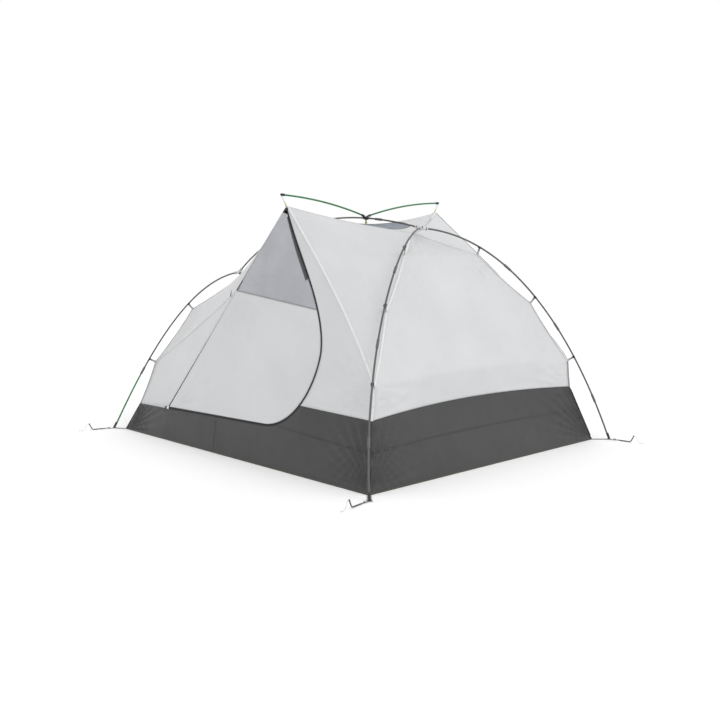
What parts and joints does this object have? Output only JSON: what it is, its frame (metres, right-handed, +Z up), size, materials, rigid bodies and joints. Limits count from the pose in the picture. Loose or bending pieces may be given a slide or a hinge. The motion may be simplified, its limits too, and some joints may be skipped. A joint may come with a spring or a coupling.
{
  "type": "tent",
  "caption": "Free-standing dome tent body on hubbed poles with a raised cross ridge pole, a curved-zip door on each long side, a dark tub floor and stakes.",
  "frame": {"origin": "middle of the floor sheet's underside", "axes": "+X towards the high end, -Y out of the front door side, +Z up"},
  "size_m": [2.5466, 2.1254, 1.3138],
  "materials": {
    "pole_grey": "anodised, satin",
    "pole_green": "anodised green, satin",
    "ferrule": "anodised, satin",
    "hub_plastic": "moulded, pale grey",
    "black_plastic": "moulded, black",
    "lime_plastic": "moulded, lime green",
    "webbing": "woven grey-pink tape",
    "floor_fabric": "coated nylon",
    "tub_fabric": "coated ripstop nylon",
    "mesh": "fine insect mesh, see-through",
    "canopy_fabric": "light ripstop nylon",
    "zip": "nylon coil on woven tape",
    "small_black": "moulded",
    "stake_metal": "anodised wire",
    "cord": "thin braided cord"
  },
  "bodies": {
    "tent": {"spine_pole": "pole_grey", "hub_high": "hub_plastic", "hub_low": "hub_plastic", "leg_front_high": "pole_grey", "leg_rear_high": "pole_grey", "leg_front_low": "pole_grey", "leg_rear_low": "pole_grey", "leg_tip_front_low": "pole_green", "leg_tip_rear_low": "pole_green", "pole_ferrules": "ferrule", "pole_feet": "black_plastic", "ridge_pole_front": "pole_green", "ridge_pole_rear": "pole_green", "ridge_hub": "black_plastic", "ridge_caps": "black_plastic", "ridge_toggle": "lime_plastic", "canopy_clips": "black_plastic", "clip_tabs": "webbing", "hub_tabs": "webbing", "tip_hooks": "lime_plastic", "floor_sheet": "floor_fabric", "tub_front": "tub_fabric", "tub_rear": "tub_fabric", "tub_high": "tub_fabric", "tub_low": "tub_fabric", "wall_high": "canopy_fabric", "wall_low": "canopy_fabric", "side_front_high": "canopy_fabric", "side_rear_high": "canopy_fabric", "side_front_low": "canopy_fabric", "side_rear_low": "canopy_fabric", "gusset_front_high": "canopy_fabric", "gusset_rear_high": "canopy_fabric", "gusset_front_low": "canopy_fabric", "gusset_rear_low": "canopy_fabric", "roof_front": "canopy_fabric", "roof_rear": "canopy_fabric", "skylight": "mesh", "zip_front": "zip", "zip_rear": "zip", "corner_straps": "webbing"},
    "door_front": {"door_front": "canopy_fabric", "door_mesh_front": "mesh", "door_zip_front": "zip"},
    "door_rear": {"door_rear": "canopy_fabric", "door_mesh_rear": "mesh", "door_zip_rear": "zip"},
    "zip_slider_front": {"slider_front": "small_black"},
    "zip_slider_rear": {"slider_rear": "small_black"},
    "tie_front": {"tie_front": "small_black"},
    "tie_rear": {"tie_rear": "small_black"},
    "stake_front_high": {"stake_front_high": "stake_metal", "pull_front_high": "cord"},
    "stake_front_low": {"stake_front_low": "stake_metal", "pull_front_low": "cord"},
    "stake_rear_high": {"stake_rear_high": "stake_metal", "pull_rear_high": "cord"},
    "stake_rear_low": {"stake_rear_low": "stake_metal", "pull_rear_low": "cord"}
  },
  "joints": [
    {"name": "door_front_hinge", "type": "hinge", "parent": "tent", "child": "door_front", "pos_m": [-0.25, -0.66595, 0.7], "axis": [-0.5781, -0.1545, -0.8012], "range_deg": [0, 135]},
    {"name": "door_rear_hinge", "type": "hinge", "parent": "tent", "child": "door_rear", "pos_m": [-0.25, 0.66595, 0.7], "axis": [0.5781, -0.1545, 0.8012], "range_deg": [0, 135]},
    {"name": "zip_slider_front_slide", "type": "slide", "parent": "tent", "child": "zip_slider_front", "axis": [0.9992, -0.0331, 0.024], "range_m": [0, 0.84]},
    {"name": "zip_slider_rear_slide", "type": "slide", "parent": "tent", "child": "zip_slider_rear", "axis": [0.9992, 0.0331, 0.024], "range_m": [0, 0.84]},
    {"name": "tie_front_swing", "type": "hinge", "parent": "tent", "child": "tie_front", "pos_m": [-0.1969, -0.64414, 0.82626], "axis": [0.0375, 0.9758, -0.2153], "range_deg": [0, 100]},
    {"name": "tie_rear_swing", "type": "hinge", "parent": "tent", "child": "tie_rear", "pos_m": [-0.1969, 0.64414, 0.82626], "axis": [-0.0375, 0.9758, 0.2153], "range_deg": [0, 100]},
    {"name": "stake_front_high_slide", "type": "slide", "parent": "tent", "child": "stake_front_high", "axis": [0.1908, -0.9816, 0], "range_m": [0, 0.1]},
    {"name": "stake_front_low_slide", "type": "slide", "parent": "tent", "child": "stake_front_low", "axis": [-0.2588, -0.9659, 0], "range_m": [0, 0.1]},
    {"name": "stake_rear_high_slide", "type": "slide", "parent": "tent", "child": "stake_rear_high", "axis": [0.9986, 0.0523, 0], "range_m": [0, 0.1]},
    {"name": "stake_rear_low_slide", "type": "slide", "parent": "tent", "child": "stake_rear_low", "axis": [-0.6157, 0.788, 0], "range_m": [0, 0.1]}
  ]
}
